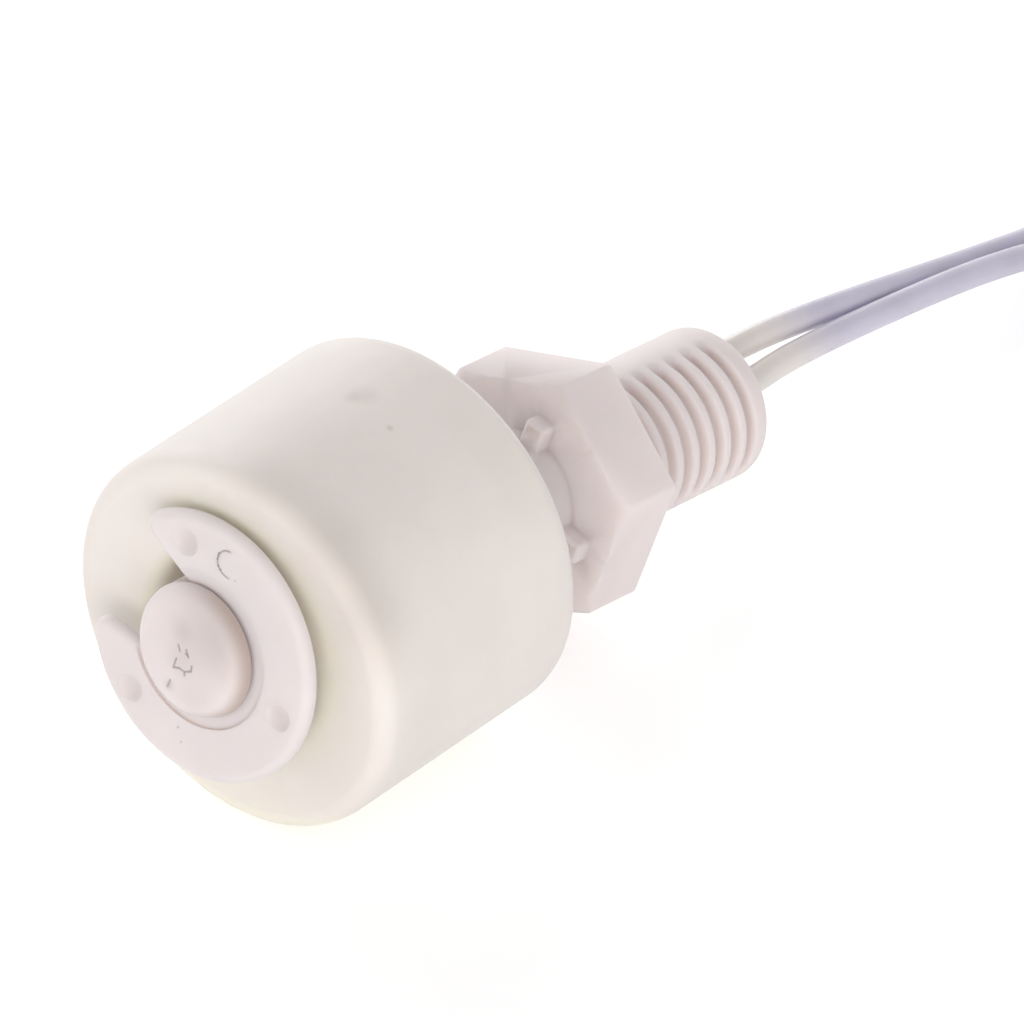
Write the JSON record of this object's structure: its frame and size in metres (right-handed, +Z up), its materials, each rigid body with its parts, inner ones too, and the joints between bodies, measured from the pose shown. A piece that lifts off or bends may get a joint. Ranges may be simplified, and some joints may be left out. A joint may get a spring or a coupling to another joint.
{
  "type": "float level switch",
  "caption": "Small plastic float level switch: a round magnetic float sliding on a tilted stem with a retaining clip, a hexagon, a threaded boss and two wires.",
  "frame": {"origin": "under the middle of the stem's length, on the surface that the switch lies on", "axes": "+X along the float's axis from the free end of the stem towards the wires, +Z up, +Y to the left"},
  "size_m": [0.1086, 0.0357, 0.0245],
  "materials": {
    "stem_plastic": "moulded, satin",
    "clip_plastic": "moulded, satin",
    "float_plastic": "moulded, satin",
    "ferrite": "sintered",
    "reed_glass": "clear",
    "reed_metal": "plated",
    "solder": "dull",
    "shrink_sleeve": "matt",
    "copper": "stranded",
    "wire_insulation": "satin",
    "resin": "cast",
    "tinned_copper": "tinned",
    "tie_plastic": "moulded"
  },
  "bodies": {
    "stem": {"stem_body": "stem_plastic", "retaining_clip": "clip_plastic", "reed_glass": "reed_glass", "reed_blade_a": "reed_metal", "reed_blade_b": "reed_metal", "solder_joint_a": "solder", "solder_joint_b": "solder", "joint_sleeve": "shrink_sleeve", "conductor_a": "copper", "conductor_b": "copper", "insulation_a": "wire_insulation", "insulation_b": "wire_insulation", "potting_resin": "resin", "lead_a": "wire_insulation", "lead_b": "wire_insulation", "lead_coil": "wire_insulation", "bare_end_a": "tinned_copper", "bare_end_b": "tinned_copper", "lead_tie": "tie_plastic"},
    "magnet": {"ring_magnet": "ferrite"},
    "float": {"float_shell": "float_plastic", "float_end_cap": "float_plastic"}
  },
  "joints": [
    {"name": "float_slide", "type": "slide", "parent": "stem", "child": "magnet", "axis": [0.9903, 0, -0.1392], "range_m": [-0.0007, 0.0064]},
    {"name": "float_spin", "type": "hinge", "parent": "magnet", "child": "float", "pos_m": [-0.01157, 0, 0.01225], "axis": [1, 0, 0], "continuous": true}
  ]
}
